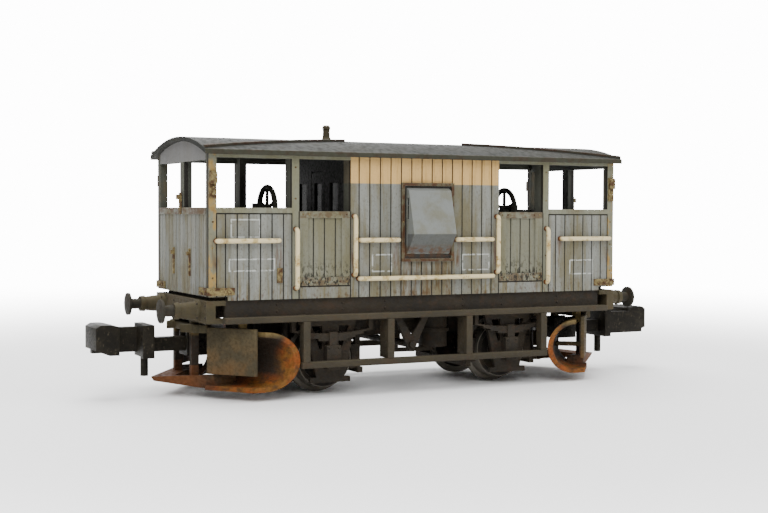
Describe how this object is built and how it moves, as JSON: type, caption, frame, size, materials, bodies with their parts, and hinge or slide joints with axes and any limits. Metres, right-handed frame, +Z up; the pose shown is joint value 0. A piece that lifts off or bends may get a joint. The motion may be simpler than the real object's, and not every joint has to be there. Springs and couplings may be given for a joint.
{
  "type": "model caboose",
  "caption": "Small-scale railway caboose: planked body with open end verandas, curved roof, lookouts, steel ploughs and hook couplers",
  "frame": {"origin": "centre of the wheelbase and of the width, at the level of the wheel flanges' lowest points", "axes": "+X along the track towards the rear end, +Y to the right side, +Z up"},
  "size_m": [0.0688, 0.0208, 0.0288],
  "materials": {
    "body_paint": "weathered grey-blue paint on injection-moulded plastic",
    "bulkhead_paint": "matt olive-cream paint",
    "roof_paint": "matt dusty grey paint",
    "lookout_paint": "weathered grey-blue paint",
    "glazing": "clear moulded glazing",
    "rail_paint": "cream paint on bent wire, rust at the ends",
    "iron_paint": "rust-coloured paint",
    "wheel_paint": "cream paint",
    "floor_plastic": "dark brown moulded plastic",
    "weight_steel": "bare steel",
    "underframe_paint": "dark brown-grey frame dirt",
    "footboard_paint": "brown-grey frame dirt",
    "plough_paint": "orange-brown rust paint",
    "buffer_steel": "dulled turned steel",
    "tyre_steel": "chemically blackened turned steel",
    "axle_steel": "blackened steel",
    "coupler_plastic": "dark charcoal moulded plastic",
    "screw_steel": "blackened steel"
  },
  "bodies": {
    "vehicle": {"axlebox_springs_left": "underframe_paint", "axlebox_springs_right": "underframe_paint", "axleguards_left": "underframe_paint", "axleguards_right": "underframe_paint", "ballast_weight": "weight_steel", "body_end_front": "body_paint", "body_end_rear": "body_paint", "body_irons_front": "iron_paint", "body_irons_rear": "iron_paint", "body_side_left": "body_paint", "body_side_right": "body_paint", "brake_gear_front": "underframe_paint", "brake_gear_rear": "underframe_paint", "brake_shaft": "underframe_paint", "buffers_front": "buffer_steel", "buffers_rear": "buffer_steel", "bulkhead_front": "bulkhead_paint", "bulkhead_rear": "bulkhead_paint", "cabin_glazing": "glazing", "coupler_screws": "screw_steel", "floor": "floor_plastic", "footboard_hangers_left": "underframe_paint", "footboard_hangers_right": "underframe_paint", "hand_wheel_front": "wheel_paint", "hand_wheel_rear": "wheel_paint", "handrails_left": "rail_paint", "handrails_right": "rail_paint", "headstock_front": "underframe_paint", "headstock_rear": "underframe_paint", "lookout_glazing": "glazing", "lookout_left": "lookout_paint", "lookout_right": "lookout_paint", "lower_footboard_left": "footboard_paint", "lower_footboard_right": "footboard_paint", "plough_frame_front": "underframe_paint", "plough_frame_rear": "underframe_paint", "plough_front": "plough_paint", "plough_plates_front": "plough_paint", "plough_plates_rear": "plough_paint", "plough_rear": "plough_paint", "roof": "roof_paint", "solebar_left": "underframe_paint", "solebar_right": "underframe_paint", "stove_pipe": "roof_paint", "underframe": "underframe_paint", "upper_footboard_left": "footboard_paint", "upper_footboard_right": "footboard_paint", "v_hangers": "underframe_paint", "vacuum_cylinder": "underframe_paint", "wheel_column_front": "wheel_paint", "wheel_column_rear": "wheel_paint"},
    "wheelset_front": {"axle_front": "axle_steel", "wheels_front": "tyre_steel"},
    "wheelset_rear": {"axle_rear": "axle_steel", "wheels_rear": "tyre_steel"},
    "coupler_carrier_front": {"coupler_pocket_front": "coupler_plastic"},
    "coupler_carrier_rear": {"coupler_pocket_rear": "coupler_plastic"},
    "coupler_lift_front": {"coupler_hook_front": "coupler_plastic"},
    "coupler_lift_rear": {"coupler_hook_rear": "coupler_plastic"}
  },
  "joints": [
    {"name": "wheelset_front_spin", "type": "hinge", "parent": "vehicle", "child": "wheelset_front", "pos_m": [-0.01095, 0, 0.00375], "axis": [0, 1, 0], "continuous": true},
    {"name": "coupler_front_swing", "type": "hinge", "parent": "vehicle", "child": "coupler_carrier_front", "pos_m": [-0.0186, 0, 0.006], "axis": [0, 0, 1], "range_deg": [-9, 9]},
    {"name": "coupler_front_lift", "type": "hinge", "parent": "coupler_carrier_front", "child": "coupler_lift_front", "pos_m": [-0.0229, 0, 0.0054], "axis": [0, 1, 0], "range_deg": [0, 15]},
    {"name": "wheelset_rear_spin", "type": "hinge", "parent": "vehicle", "child": "wheelset_rear", "pos_m": [0.01095, 0, 0.00375], "axis": [0, 1, 0], "continuous": true},
    {"name": "coupler_rear_swing", "type": "hinge", "parent": "vehicle", "child": "coupler_carrier_rear", "pos_m": [0.0186, 0, 0.006], "axis": [0, 0, 1], "range_deg": [-9, 9]},
    {"name": "coupler_rear_lift", "type": "hinge", "parent": "coupler_carrier_rear", "child": "coupler_lift_rear", "pos_m": [0.0229, 0, 0.0054], "axis": [0, -1, 0], "range_deg": [0, 15]}
  ]
}
